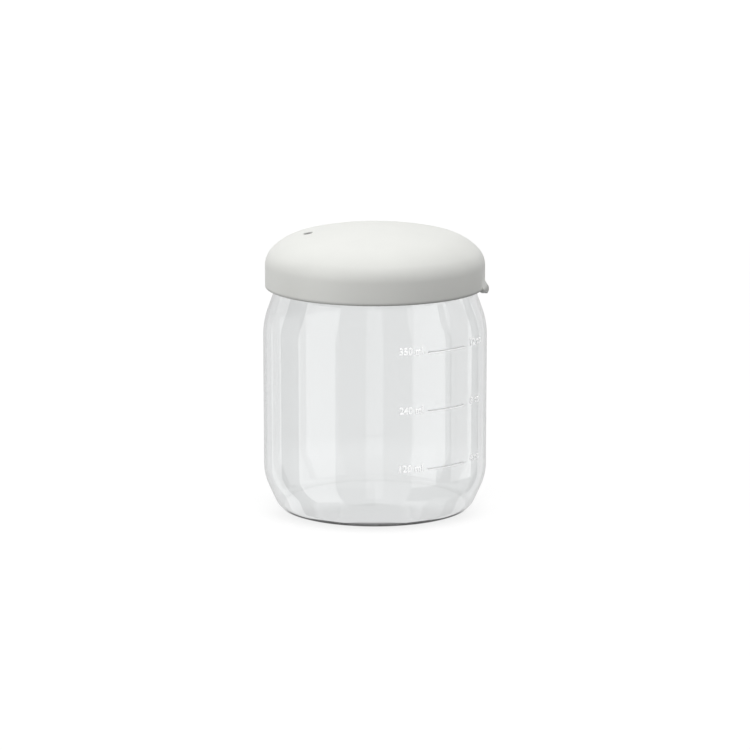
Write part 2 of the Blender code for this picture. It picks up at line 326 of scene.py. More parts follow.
def turned(outline, steps, closed=False):
    bm = bmesh.new()
    verts = [bm.verts.new((r, 0.0, z)) for r, z in outline]
    edges = [bm.edges.new(pair) for pair in zip(verts, verts[1:])]
    if closed:
        edges.append(bm.edges.new((verts[-1], verts[0])))
    bmesh.ops.spin(
        bm, geom=verts + edges, cent=(0, 0, 0), axis=(0, 0, 1), angle=math.tau, steps=steps, use_merge=True
    )
    bmesh.ops.remove_doubles(bm, verts=bm.verts, dist=mergeGap)
    bmesh.ops.recalc_face_normals(bm, faces=bm.faces)
    return bm


def makePiece(name, bm, material, body, node=None, sharp=sharpAngle):
    mesh = bpy.data.meshes.new(name)
    bm.to_mesh(mesh)
    bm.free()
    mesh.shade_smooth()
    mesh.set_sharp_from_angle(angle=math.radians(sharp))
    mesh.materials.append(material)
    piece = bpy.data.objects.new(name, mesh)
    scene.collection.objects.link(piece)
    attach(piece, body)
    if node:
        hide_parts(node)
    return piece


def joinSolid(piece, bm, operation):
    mesh = bpy.data.meshes.new("tool")
    bm.to_mesh(mesh)
    bm.free()
    mesh.shade_smooth()
    tool = bpy.data.objects.new("tool", mesh)
    scene.collection.objects.link(tool)
    boolean = piece.modifiers.new("join", "BOOLEAN")
    boolean.operation = operation
    boolean.solver = "EXACT"
    boolean.object = tool
    made = bpy.data.meshes.new_from_object(piece.evaluated_get(bpy.context.evaluated_depsgraph_get()))
    piece.modifiers.clear()
    old = piece.data
    piece.data = made
    bpy.data.meshes.remove(old)
    bpy.data.objects.remove(tool)


# Glass jar
jarGlass = {
    "radius": 44.5 * mm,
    "wall": 2.6 * mm,
    "bearingWidth": 2.4 * mm,
    "heelRadius": 4.0 * mm,
    "heelSlope": 24.3,
    "heelBlendRadius": 20.3 * mm,
    "heelHeight": 17.0 * mm,
    "shoulderStart": 69.0 * mm,
    "shoulderRadius": 31.0 * mm,
    "shoulderSlope": 20.0,
    "pushUp": 1.6 * mm,
    "floorThickness": 2.8 * mm,
    "floorCrown": 0.4 * mm,
    "floorCorner": 5.0 * mm,
    "neckInset": 6.3 * mm,
    "neckFillet": 4.0 * mm,
    "neckWall": 2.7 * mm,
    "neckLength": 5.52 * mm,
    "rimBead": 2.0 * mm,
    "rimLip": 1.8 * mm,
    "turnSteps": 192,
    "markHeights": (23.4 * mm, 46.5 * mm, 69.8 * mm),
    "markWidth": 0.5 * mm,
    "markRelief": 0.25 * mm,
    "markStart": -63.0,
    "markEnd": -37.2,
    "markTaper": 1.0,
    "markRows": 8,
    "markGuard": 0.12 * mm,
}


def slopeTurn(degrees):
    return math.cos(math.radians(degrees)), math.sin(math.radians(degrees))


def wallRadius(z):
    j = jarGlass
    lift = max(z - j["shoulderStart"], 0.0)
    return j["radius"] - j["shoulderRadius"] + math.sqrt(j["shoulderRadius"] ** 2 - lift ** 2)


def buildJarGlass():
    j = jarGlass
    heelCos, heelSin = slopeTurn(j["heelSlope"])
    shoulderCos, shoulderSin = slopeTurn(j["shoulderSlope"])
    blendCentre = (j["radius"] - j["heelBlendRadius"], j["heelHeight"])
    blendStart = (
        blendCentre[0] + j["heelBlendRadius"] * heelCos,
        blendCentre[1] - j["heelBlendRadius"] * heelSin,
    )
    heelEnd = j["heelRadius"] * (1 - heelSin)
    bearingOuter = blendStart[0] - (blendStart[1] - heelEnd) * heelSin / heelCos - j["heelRadius"] * heelCos
    bearingInner = bearingOuter - j["bearingWidth"]
    shoulderCentre = (j["radius"] - j["shoulderRadius"], j["shoulderStart"])
    shoulderEnd = (
        shoulderCentre[0] + j["shoulderRadius"] * shoulderCos,
        shoulderCentre[1] + j["shoulderRadius"] * shoulderSin,
    )
    neck = j["radius"] - j["neckInset"]
    neckStart = (
        shoulderEnd[1]
        + (shoulderEnd[0] - neck - j["neckFillet"] * (1 - shoulderCos)) * shoulderCos / shoulderSin
        + j["neckFillet"] * shoulderSin
    )
    rim = neckStart + j["neckLength"]
    mouth = neck - j["neckWall"]

    underside = [(bearingInner * i / 14, j["pushUp"] * (1 - (i / 14) ** 2)) for i in range(14)]
    heel = arc((bearingOuter, j["heelRadius"]), j["heelRadius"], -90, -j["heelSlope"], 14)
    blend = arc(blendCentre, j["heelBlendRadius"], -j["heelSlope"], 0, 12)
    shoulder = arc(shoulderCentre, j["shoulderRadius"], 0, j["shoulderSlope"], 12)
    neckIn = arc((neck + j["neckFillet"], neckStart), j["neckFillet"], 180 + j["shoulderSlope"], 180, 6)
    top = mouth + j["rimLip"]
    root = -math.degrees(math.acos((neck - top) / j["rimBead"]))
    bead = arc((top, rim - j["rimBead"]), j["rimBead"], root, 90, 12)
    lip = arc((top, rim - j["rimLip"]), j["rimLip"], 90, 180, 8)

    # Rows across each raised line with a guard row beyond, between them the side is one long row
    side = []
    markRows = []
    for height in j["markHeights"]:
        rows = [height + j["markWidth"] * (i / j["markRows"] - 0.5) for i in range(j["markRows"] + 1)]
        rows = [rows[0] - j["markGuard"]] + rows + [rows[-1] + j["markGuard"]]
        if height < j["shoulderStart"]:
            side += [(j["radius"], z) for z in rows]
        else:
            markRows = [(wallRadius(z), z) for z in rows]
    outside = underside + [(bearingInner, 0.0)] + heel
    outside += run(heel[-1], blend[0], 4) + blend + side
    topMark = j["markHeights"][-1]
    shoulderRows = [p for p in shoulder if abs(p[1] - topMark) > j["markWidth"]]
    shoulderAll = sorted(shoulderRows + markRows, key=lambda p: p[1])
    outside += shoulderAll + run(shoulder[-1], neckIn[0], 5) + neckIn

    inShoulder = arc(shoulderCentre, j["shoulderRadius"] - j["wall"], j["shoulderSlope"], 0, 12)
    coneTop = inShoulder[0][1] + (inShoulder[0][0] - mouth) * shoulderCos / shoulderSin
    inBlend = arc(blendCentre, j["heelBlendRadius"] - j["wall"], 0, -j["heelSlope"], 12)
    floorEdge = j["pushUp"] + j["floorThickness"] - j["floorCrown"]
    cornerHeight = floorEdge + j["floorCorner"] * (1 - heelSin)
    cornerRadius = inBlend[-1][0] - (inBlend[-1][1] - cornerHeight) * heelSin / heelCos
    cornerCentre = (cornerRadius - j["floorCorner"] * heelCos, floorEdge + j["floorCorner"])
    corner = arc(cornerCentre, j["floorCorner"], -j["heelSlope"], -90, 12)
    floor = [
        (cornerCentre[0] * (1 - i / 12), floorEdge + j["floorCrown"] * (i / 12) ** 2) for i in range(1, 12)
    ]
    inside = [(mouth, coneTop)] + run((mouth, coneTop), inShoulder[0], 5) + inShoulder
    inside += run(inShoulder[-1], inBlend[0], 6) + inBlend + run(inBlend[-1], corner[0], 4) + corner
    inside += floor + [(0.0, floorEdge + j["floorCrown"])]

    bm = turned(outside + bead + lip[1:] + inside, j["turnSteps"])
    raiseLines(bm)

    # Slot 0 is the outside, 1 the inside, 2 the underside
    for face in bm.faces:
        middle = face.calc_center_median()
        if middle.z < j["pushUp"] * 1.01 and middle.xy.length < bearingOuter:
            face.material_index = 2
        elif face.normal.x * middle.x + face.normal.y * middle.y < 0.0:
            face.material_index = 1
        elif face.normal.z > 0.8 and middle.z < j["heelHeight"] / 2:
            face.material_index = 1

    g = clearGlass
    outer = clearGlassFinish("clear_glass", g["colour"], g["ior"], g["skinOutside"])
    jar = makePiece("jar_glass", bm, outer, "jar", "glass_jar", sharp=60.0)
    inner = clearGlassFinish("clear_glass_inside", g["inner"], g["innerIor"], g["skinInside"])
    jar.data.materials.append(inner)
    under = clearGlassFinish("clear_glass_underside", g["colour"], g["ior"], g["skinUnder"])
    jar.data.materials.append(under)
    return jar


# The volume lines are ridges pressed in the glass itself
def raiseLines(bm):
    j = jarGlass
    for v in bm.verts:
        radius = math.hypot(v.co.x, v.co.y)
        if radius < j["radius"] - j["wall"] / 2:
            continue
        angle = math.degrees(math.atan2(v.co.y, v.co.x))
        if not j["markStart"] < angle < j["markEnd"]:
            continue
        for height in j["markHeights"]:
            across = abs(v.co.z - height) / (j["markWidth"] / 2)
            if across < 1.0:
                ends = min(angle - j["markStart"], j["markEnd"] - angle)
                taper = min(ends / j["markTaper"], 1.0)
                lift = j["markRelief"] * math.sqrt(1.0 - across ** 2) * taper
                v.co.x *= 1 + lift / radius
                v.co.y *= 1 + lift / radius


jar = buildJarGlass()
print("glass jar:", len(jar.data.vertices), "points")


# Volume marks: raised numbers and units wrapped round the wall, by angle from +X
volumeMarks = {
    "rows": (("120 ml", "4 oz"), ("240 ml", "8 oz"), ("350 ml", "12 oz")),
    "capHeight": 2.75 * mm,
    "bolder": 0.03,
    "rounding": 0.03,
    "drop": 0.45 * mm,
    "leftStart": -77.9,
    "leftWidth": 9.75 * mm,
    "rightStart": -33.6,
    "rightWidth": 9.3 * mm,
    "shortWords": 0.82,
    "relief": 0.2 * mm,
    "sunk": 0.05 * mm,
    "lineStart": -62.8,
    "lineEnd": -39.0,
    "lineLow": -0.42 * mm,
    "lineHigh": 0.22 * mm,
    "lineRelief": 0.04 * mm,
    "linePaintedShadeFrom": -0.09 * mm,
    "lineLift": (0.14 * mm, 0.14 * mm, 0.0),
    "lineSteps": 96,
}


def wrappedText(words, height, startAngle, width):
    v = volumeMarks
    curve = bpy.data.curves.new("mark", "FONT")
    curve.body = words
    curve.size = 1.0
    curve.resolution_u = 6
    curve.offset = v["bolder"] - v["rounding"]
    curve.bevel_depth = v["rounding"]
    curve.bevel_resolution = 1
    holder = bpy.data.objects.new("mark", curve)
    scene.collection.objects.link(holder)
    bpy.context.view_layer.update()
    flat = bpy.data.meshes.new_from_object(holder.evaluated_get(bpy.context.evaluated_depsgraph_get()))
    bpy.data.objects.remove(holder)
    bpy.data.curves.remove(curve)
    bm = bmesh.new()
    bm.from_mesh(flat)
    bpy.data.meshes.remove(flat)
    xs = [p.co.x for p in bm.verts]
    ys = [p.co.y for p in bm.verts]
    left, right, capTop = min(xs), max(xs), max(ys)
    depth = v["relief"] + v["sunk"]
    for p in bm.verts:
        along = (p.co.x - left) / (right - left) * width
        z = height - v["drop"] + p.co.y / capTop * v["capHeight"]
        radius = wallRadius(z) - v["sunk"] + depth * (p.co.z / v["rounding"] + 1.0) / 2
        angle = math.radians(startAngle) + along / wallRadius(height)
        p.co = Vector((radius * math.cos(angle), radius * math.sin(angle), z))
    bmesh.ops.remove_doubles(bm, verts=bm.verts, dist=mergeGap / 2)
    bmesh.ops.recalc_face_normals(bm, faces=bm.faces)
    # Side faces turned one way get the second, darker finish: painted shade
    for face in bm.faces:
        out = face.calc_center_median().xy.normalized()
        face.material_index = int(face.normal.x * out.y - face.normal.y * out.x > 0.3)
    return bm


# The frosted face of one raised line: a strip over its ridge, whose top half gets painted shade
def wrappedLine(height, shift):
    j, v = jarGlass, volumeMarks
    half = j["markWidth"] / 2
    outer = []
    for i in range(11):
        z = shift + v["lineLow"] + (v["lineHigh"] - v["lineLow"]) * i / 10
        lift = j["markRelief"] * math.sqrt(max(1.0 - (z / half) ** 2, 0.0)) + v["lineRelief"]
        outer.append((wallRadius(height + z) + lift, height + z))
    ends = (shift + v["lineHigh"], shift + v["lineLow"])
    root = [(wallRadius(height + z) - v["sunk"], height + z) for z in ends]
    start, end = math.radians(v["lineStart"]), math.radians(v["lineEnd"])
    bm = bmesh.new()
    corners = [bm.verts.new((r * math.cos(start), r * math.sin(start), z)) for r, z in outer + root]
    face = bm.faces.new(corners)
    bmesh.ops.spin(
        bm, geom=[face, *face.edges, *face.verts], cent=(0, 0, 0), axis=(0, 0, 1), angle=end - start,
        steps=v["lineSteps"]
    )
    bmesh.ops.remove_doubles(bm, verts=bm.verts, dist=mergeGap)
    bmesh.ops.recalc_face_normals(bm, faces=bm.faces)
    # Faces above the split get the second, darker finish: painted shade on the line's top half
    for face in bm.faces:
        face.material_index = int(face.calc_center_median().z > height + shift + v["linePaintedShadeFrom"])
    return bm


def buildVolumeMarks():
    v, r = volumeMarks, raisedMark
    # Three finishes, all with painted glow: the marks on the left, those on the right which are seen at a
    # slant and glow less, and a darker one that is painted shade
    material = raisedMarkFinish("frosted_mark_painted_glow", r["colour"], r["shade"], r["through"])
    far = raisedMarkFinish("frosted_mark_far_painted_glow", r["colour"], r["shade"], r["farPaintedGlow"])
    paintedShade = raisedMarkFinish("frosted_mark_painted_shade", r["paintedShade"], r["paintedShadeFrost"], r["paintedShadeGlow"])
    for (left, right), height, lift in zip(v["rows"], jarGlass["markHeights"], v["lineLift"]):
        for frosted, words, start, width in (
            (material, left, v["leftStart"], v["leftWidth"]),
            (far, right, v["rightStart"], v["rightWidth"] * (v["shortWords"] if len(right) < 5 else 1.0)),
        ):
            name = "mark_" + words.replace(" ", "_")
            bm = wrappedText(words, height, start, width)
            mark = makePiece(name, bm, frosted, "jar", sharp=30.0)
            mark.data.materials.append(paintedShade)
            print("mark:", words)
        name = "mark_line_" + left.split()[0]
        line = makePiece(name, wrappedLine(height, lift), material, "jar", sharp=30.0)
        line.data.materials.append(paintedShade)


buildVolumeMarks()


# Lid cover: dome of three arcs, straight side, spigot inside
lidCover = {
    "radius": 43.6 * mm,
    "wall": 2.0 * mm,
    "edgeHeight": 88.5 * mm,
    "sideHeight": 8.6 * mm,
    "shoulderRadius": 8.9 * mm,
    "shoulderTurn": 43.9,
    "haunchRadius": 22.3 * mm,
    "haunchTurn": 76.7,
    "edgeFillet": 0.6 * mm,
    "spigotRadius": 33.0 * mm,
    "spigotWall": 1.5 * mm,
    "spigotBottom": 90.0 * mm,
    "spigotBead": 1.2 * mm,
    "spigotBeadRelief": 0.9 * mm,
    "ribBottom": 100.1 * mm,
    "ribCount": 12,
    "ribThickness": 1.4 * mm,
    "turnSteps": 192,
}
lidTab = {
    "direction": -4.0,
    "width": 17.8 * mm,
    "height": 2.0 * mm,
    "reach": 1.6 * mm,
    "drop": 2.0 * mm,
    "bead": 1.25 * mm,
}
vent = {
    "direction": 188.0,
    "distance": 26.6 * mm,
    "radius": 1.85 * mm,
    "pocketRadius": 3.3 * mm,
    "pocketTop": 108.27 * mm,
    "pocketBottom": 105.47 * mm,
    "bossWall": 0.9 * mm,
    "bossLip": 0.8 * mm,
    "valveRadius": 3.0 * mm,
    "valveHeight": 2.2 * mm,
    "membrane": 0.8 * mm,
    "valveRim": 0.9 * mm,
    "valveEdge": 0.25 * mm,
    "noseWall": 0.65 * mm,
    "noseInset": 0.15 * mm,
    "slitLength": 1.4 * mm,
    "slitWidth": 0.3 * mm,
    "gap": 0.3 * mm,
}


def domeCentres():
    c = lidCover
    turn, haunch = math.radians(c["shoulderTurn"]), math.radians(c["haunchTurn"])
    first = (c["radius"] - c["shoulderRadius"], c["edgeHeight"] + c["sideHeight"])
    step = c["haunchRadius"] - c["shoulderRadius"]
    second = (first[0] - step * math.cos(turn), first[1] - step * math.sin(turn))
    crownRadius = second[0] / math.cos(haunch) + c["haunchRadius"]
    third = (0.0, second[1] - second[0] * math.tan(haunch))
    return (
        (first, c["shoulderRadius"], 0.0, c["shoulderTurn"]),
        (second, c["haunchRadius"], c["shoulderTurn"], c["haunchTurn"]),
        (third, crownRadius, c["haunchTurn"], 90.0),
    )


def dome(inset, steps):
    points = []
    for centre, radius, start, end in domeCentres():
        points += arc(centre, radius - inset, start, end, steps)[(1 if points else 0):]
    return points[:-1] + [(0.0, points[-1][1])]


def domeHeight(at, inset):
    for centre, radius, start, end in reversed(domeCentres()):
        if at <= centre[0] + (radius - inset) * math.cos(math.radians(start)):
            return centre[1] + math.sqrt((radius - inset) ** 2 - (at - centre[0]) ** 2)
    return lidCover["edgeHeight"] + lidCover["sideHeight"]


def plate(outline, thickness, direction):
    bm = bmesh.new()
    face = bm.faces.new([bm.verts.new((r, -thickness / 2, z)) for r, z in outline])
    made = bmesh.ops.extrude_face_region(bm, geom=[face])
    moved = [p for p in made["geom"] if isinstance(p, bmesh.types.BMVert)]
    bmesh.ops.translate(bm, verts=moved, vec=(0, thickness, 0))
    turn = Matrix.Rotation(math.radians(direction), 3, "Z")
    bmesh.ops.rotate(bm, verts=bm.verts, cent=(0, 0, 0), matrix=turn)
    bmesh.ops.recalc_face_normals(bm, faces=bm.faces)
    return bm


def upright(radius, low, high, centre, steps=48):
    bm = bmesh.new()
    bmesh.ops.create_cone(
        bm, cap_ends=True, segments=steps, radius1=radius, radius2=radius, depth=high - low
    )
    bmesh.ops.translate(bm, verts=bm.verts, vec=(centre[0], centre[1], (low + high) / 2))
    return bm


def tabSolid():
    c, t = lidCover, lidTab
    bead = (c["radius"] + t["reach"] - t["bead"], c["edgeHeight"] - t["drop"] + t["bead"])
    root = c["radius"] - c["wall"] / 2
    top = c["edgeHeight"] + t["height"]
    flare = (top - bead[1]) / t["reach"]
    section = [(root, top + (c["radius"] - root) * flare)]
    section += arc(bead, t["bead"], 22.5, -180, 16) + [(root, c["edgeHeight"] + c["edgeFillet"])]
    middle, half = math.radians(t["direction"]), t["width"] / 2 / c["radius"]
    start, end = middle - half, middle + half
    bm = bmesh.new()
    face = bm.faces.new([bm.verts.new((r * math.cos(start), r * math.sin(start), z)) for r, z in section])
    bmesh.ops.spin(
        bm, geom=[face, *face.edges, *face.verts], cent=(0, 0, 0), axis=(0, 0, 1), angle=end - start,
        steps=24
    )
    bmesh.ops.remove_doubles(bm, verts=bm.verts, dist=mergeGap)
    bmesh.ops.recalc_face_normals(bm, faces=bm.faces)
    low, high = bead[1] - t["bead"], section[0][1] + overrun
    w = t["width"] / 2
    curve = (w ** 2 + t["drop"] ** 2) / (2 * t["drop"])
    sweep = math.degrees(math.asin(w / curve))
    tongue = arc((0, low + curve), curve, -90 - sweep, -90 + sweep, 32) + [(w, high), (-w, high)]
    cutter = bmesh.new()
    start = root - overrun
    face = cutter.faces.new([cutter.verts.new((start, y, z)) for y, z in tongue])
    made = bmesh.ops.extrude_face_region(cutter, geom=[face])
    moved = [p for p in made["geom"] if isinstance(p, bmesh.types.BMVert)]
    bmesh.ops.translate(cutter, verts=moved, vec=(c["radius"] + t["reach"] + overrun - start, 0, 0))
    turn = Matrix.Rotation(middle, 3, "Z")
    bmesh.ops.rotate(cutter, verts=cutter.verts, cent=(0, 0, 0), matrix=turn)
    bmesh.ops.recalc_face_normals(cutter, faces=cutter.faces)
    mesh = bpy.data.meshes.new("tab")
    bm.to_mesh(mesh)
    bm.free()
    tab = bpy.data.objects.new("tab", mesh)
    scene.collection.objects.link(tab)
    joinSolid(tab, cutter, "INTERSECT")
    made = bmesh.new()
    made.from_mesh(tab.data)
    bpy.data.objects.remove(tab)
    return made


def buildLidCover():
    c = lidCover
    spigotInner = c["spigotRadius"] - c["spigotWall"]
    beadRadius = c["spigotRadius"] + c["spigotBeadRelief"]
    bottom, bead = c["spigotBottom"], c["spigotBead"]
    spigot = [(spigotInner, domeHeight(spigotInner, c["wall"])), (spigotInner, bottom)]
    outer = c["spigotRadius"]
    spigot += [(beadRadius - bead / 2, bottom), (beadRadius, bottom + bead / 2)]
    spigot += [(beadRadius, bottom + bead), (outer, bottom + bead)]
    spigot += [(outer, domeHeight(outer, c["wall"]))]
    inner = dome(c["wall"], 12)
    underCrown = [p for p in reversed(inner) if p[0] < spigotInner - 0.1 * mm]
    underSide = [p for p in reversed(inner) if p[0] > c["spigotRadius"] + 0.1 * mm]
    low = c["edgeHeight"] + c["edgeFillet"]
    skirt = c["radius"] - c["wall"]
    edge = arc((skirt + c["edgeFillet"], low), c["edgeFillet"], 180, 270, 6)
    edge += arc((c["radius"] - c["edgeFillet"], low), c["edgeFillet"], -90, 0, 6)
    outline = underCrown + spigot + underSide + edge + dome(0.0, 24)
    bm = turned(outline, c["turnSteps"])
    lid = makePiece("lid_dome", bm, matteWhiteFinish(), "lid", "lid_cover")
    middle = c["wall"] / 2
    root, end = c["spigotRadius"] - c["spigotWall"] / 2, c["radius"] - middle
    between = [p for p in dome(middle, 6) if root < p[0] < end]
    ribOutline = [(root, c["ribBottom"]), (end, c["ribBottom"])] + between
    ribOutline += [(root, domeHeight(root, middle))]
    for i in range(c["ribCount"]):
        joinSolid(lid, plate(ribOutline, c["ribThickness"], 360.0 * (i + 0.5) / c["ribCount"]), "UNION")
    joinSolid(lid, tabSolid(), "UNION")
    v = vent
    angle = math.radians(v["direction"])
    centre = (v["distance"] * math.cos(angle), v["distance"] * math.sin(angle))
    boss = v["pocketRadius"] + v["bossWall"]
    bossBottom = v["pocketBottom"] - v["bossLip"]
    bossTop = domeHeight(v["distance"] + boss, middle)
    joinSolid(lid, upright(boss, bossBottom, bossTop, centre), "UNION")
    joinSolid(lid, upright(v["pocketRadius"], v["pocketBottom"], v["pocketTop"], centre), "DIFFERENCE")
    lipRadius = v["pocketRadius"] - v["bossLip"]
    split = v["pocketTop"] - v["gap"]
    joinSolid(lid, upright(lipRadius, bossBottom - overrun, split, centre), "DIFFERENCE")
    crownTop = dome(0.0, 4)[-1][1]
    joinSolid(lid, upright(v["radius"], split, crownTop + overrun, centre), "DIFFERENCE")
    lid.data.set_sharp_from_angle(angle=math.radians(sharpAngle))
    return lid, centre


lid, ventCentre = buildLidCover()
print("lid cover:", len(lid.data.vertices), "points")


# Seal ring: two rounded fins and a flange that lies on the rim
sealRing = {
    "inner": 33.3 * mm,
    "wall": 0.9 * mm,
    "bottom": 91.5 * mm,
    "flangeBottom": 98.3 * mm,
    "flangeThickness": 1.5 * mm,
    "flangeWidth": 4.3 * mm,
    "finTip": 35.2 * mm,
    "finHeights": (94.0 * mm, 96.0 * mm),
    "finThickness": 0.8 * mm,
    "finDroop": 0.5 * mm,
}


def buildSealRing():
    s = sealRing
    body = s["inner"] + s["wall"]
    top = s["flangeBottom"] + s["flangeThickness"]
    flange = s["inner"] + s["flangeWidth"]
    tip = s["finThickness"] / 4
    outline = [(s["inner"], top), (s["inner"], s["bottom"])]
    outline += [(body - tip, s["bottom"]), (body, s["bottom"] + tip)]
    for root in s["finHeights"]:
        outline += [(body, root)]
        outline += arc((s["finTip"] - tip, root + s["finDroop"] + tip), tip, -60, 60, 5)
        outline += [(body, root + s["finThickness"])]
    half = s["flangeThickness"] / 2
    outline += [(body, s["flangeBottom"])] + arc((flange - half, top - half), half, -90, 90, 10)
    bm = turned(outline, 144, closed=True)
    material = siliconeFinish("seal_silicone", silicone["seal"], silicone["sealDust"])
    return makePiece("seal_gasket", bm, material, "lid", "seal_ring")


seal = buildSealRing()
print("seal ring:", len(seal.data.vertices), "points")


# Vent valve: a cup with a hollow nose that fills the vent hole, slit through its top
def buildValve():
    v = vent
    top = v["pocketTop"] - v["gap"]
    hollow = v["valveRadius"] - v["valveRim"]
    nose = v["radius"] - v["gap"]
    bore = nose - v["noseWall"]
    boreTop = domeHeight(v["distance"] + nose, v["noseInset"]) - v["membrane"]
    edge = v["valveEdge"]
    low, high = top - v["valveHeight"] - overrun, dome(0.0, 4)[-1][1] + overrun
    outline = [(0.0, high), (nose, high), (nose, top)]
    outline += arc((v["valveRadius"] - edge, top - edge), edge, 90, 0, 4)
    outline += [(v["valveRadius"], top - v["valveHeight"]), (hollow, top - v["valveHeight"])]
    outline += [(hollow, top - v["membrane"]), (bore, top - v["membrane"])]
    outline += [(bore, boreTop), (0.0, boreTop)]
    bm = turned(outline, 64)
    bmesh.ops.translate(bm, verts=bm.verts, vec=(*ventCentre, 0.0))
    material = siliconeFinish("grey_silicone", silicone["valve"], silicone["valveDust"])
    valve = makePiece("valve_cup", bm, material, "lid", "vent_valve")
    rimHeight, inset = lidCover["edgeHeight"], v["noseInset"]
    under = [(0.0, rimHeight), (lidCover["radius"] - inset, rimHeight)] + dome(inset, 24)
    joinSolid(valve, turned(under, lidCover["turnSteps"]), "INTERSECT")
    inner, outer = v["distance"] - v["slitLength"] / 2, v["distance"] + v["slitLength"] / 2
    slit = [(inner, low), (outer, low), (outer, high), (inner, high)]
    joinSolid(valve, plate(slit, v["slitWidth"], v["direction"]), "DIFFERENCE")
    valve.data.set_sharp_from_angle(angle=math.radians(sharpAngle))
    return valve


valve = buildValve()
print("vent valve:", len(valve.data.vertices), "points")


# Floor: diffuse for the light it bounces, white for what looks at it, with the shadow kept and with painted
# shadow and painted light near the jar; clear from below, so that the underside can be looked at
stage = {
    "size": 6.0,
    "drop": 0.05 * mm,
    "colour": (0.405, 0.405, 0.405),
    "seenColour": 0.16,
    "seenGlow": 0.88,
    "paintedLightUnder": 0.05,
    "underRadius": (40.0 * mm, 50.0 * mm),
    "paintedLightBehind": 0.06,
    "behindRadius": (80.0 * mm, 130.0 * mm),
    "contactOuter": (37.3 * mm, 38.5 * mm),
    "contactInner": (36.0 * mm, 36.9 * mm),
    "contactSides": (0.15, 0.55),
    "contactWider": ((0.62, 0.88), 2.2 * mm),
    "contactSofter": ((0.93, 1.0), 3.6 * mm, 0.05),
    "contactDepth": 0.93,
    "contactWalls": 3.0,
    "paintedReflectionShadow": (36.8 * mm, 38.8 * mm),
    "farGlow": 0.2,
    "farRadius": (0.5, 1.3),
    "shade": 0.11,
    "shadeRadius": (38.0 * mm, 53.0 * mm),
    "shadeFront": (0.0, 0.7),
}


def buildFloor():
    s = stage
    bm = bmesh.new()
    bmesh.ops.create_grid(bm, x_segments=8, y_segments=8, size=s["size"] / 2)
    bmesh.ops.translate(bm, verts=bm.verts, vec=(0, 0, -s["drop"]))
    mesh = bpy.data.meshes.new("floor")
    bm.to_mesh(mesh)
    bm.free()
    f = Finish("studio_floor")
    through = f.node("LightPath", "Is Transmission Ray")
    seen = f.node("LightPath", "Is Camera Ray").most(through)
    lit = f.node("BsdfDiffuse", Color=s["colour"])

    # Distance from the jar's axis, and how far round to the front a point lies
    plan = f.node("VectorMath", "Value", {"operation": "LENGTH"}, Vector=f.place((1.0, 1.0, 0.0)))
    front = f.node("SeparateXYZ", "Y", Vector=f.place()) * -1.0 / plan
    # Painted light: for rays seen through the glass the floor is brightened under the jar and around its
    # back, lifting the jar's shadow there
    under = (1.0 - plan.smooth(*s["underRadius"])) * s["paintedLightUnder"]
    paintedBehind = (1.0 - plan.smooth(*s["behindRadius"])) * s["paintedLightBehind"]

    # Painted shadow: a dark line painted on the floor under the bearing ring, seen through one wall of the
    # heel only
    middleRange, spread, softer = s["contactSofter"]
    middle = front.smooth(*middleRange)
    widerRange, widest = s["contactWider"]
    wider = front.smooth(*widerRange) * widest
    low, high = s["contactInner"]
    paintedContactShadow = plan.smooth(low - wider - middle * spread, high - wider)
    paintedContactShadow = paintedContactShadow * (s["contactDepth"] - middle * softer)
    paintedContactShadow = paintedContactShadow * (1.0 - plan.smooth(*s["contactOuter"])) * front.smooth(*s["contactSides"])
    clear = 1.0 - paintedContactShadow * (f.node("LightPath", "Transmission Depth") < s["contactWalls"])
    # Painted shadow: the floor is darkened in front of the base, a soft shadow
    shade = (1.0 - plan.smooth(*s["shadeRadius"])) * front.smooth(*s["shadeFront"]) * s["shade"]
    clear = clear * (1.0 - shade)
    far = plan.smooth(*s["farRadius"]) * s["farGlow"]
    strength = (s["seenGlow"] + far + (under + paintedBehind) * through) * clear
    glow = f.node("Emission", Color=(1.0, 1.0, 1.0), Strength=strength)
    paleLit = f.node("BsdfDiffuse", Color=clear * s["seenColour"])
    pale = f.tree.nodes.new("ShaderNodeAddShader")
    f.tree.links.new(paleLit.socket, pale.inputs[0])
    f.tree.links.new(glow.socket, pale.inputs[1])
    surface = f.blend(seen, lit, Wire(f.tree, pale.outputs[0]))

    # Mirrored rays go on to the studio's cards, except near the ring, where the floor turns them dark:
    # painted shadow in the reflection
    mirrored = f.node("LightPath", "Glossy Depth") > 0.5
    passed = f.node("BsdfTransparent", Color=plan.smooth(*s["paintedReflectionShadow"]))
    above = f.blend(mirrored, surface, passed)
    below = f.node("BsdfTransparent", Color=(1.0, 1.0, 1.0))
    mesh.materials.append(f.finish(f.blend(f.node("NewGeometry", "Backfacing"), above, below)))
    floor = bpy.data.objects.new("floor", mesh)
    scene.collection.objects.link(floor)


buildFloor()


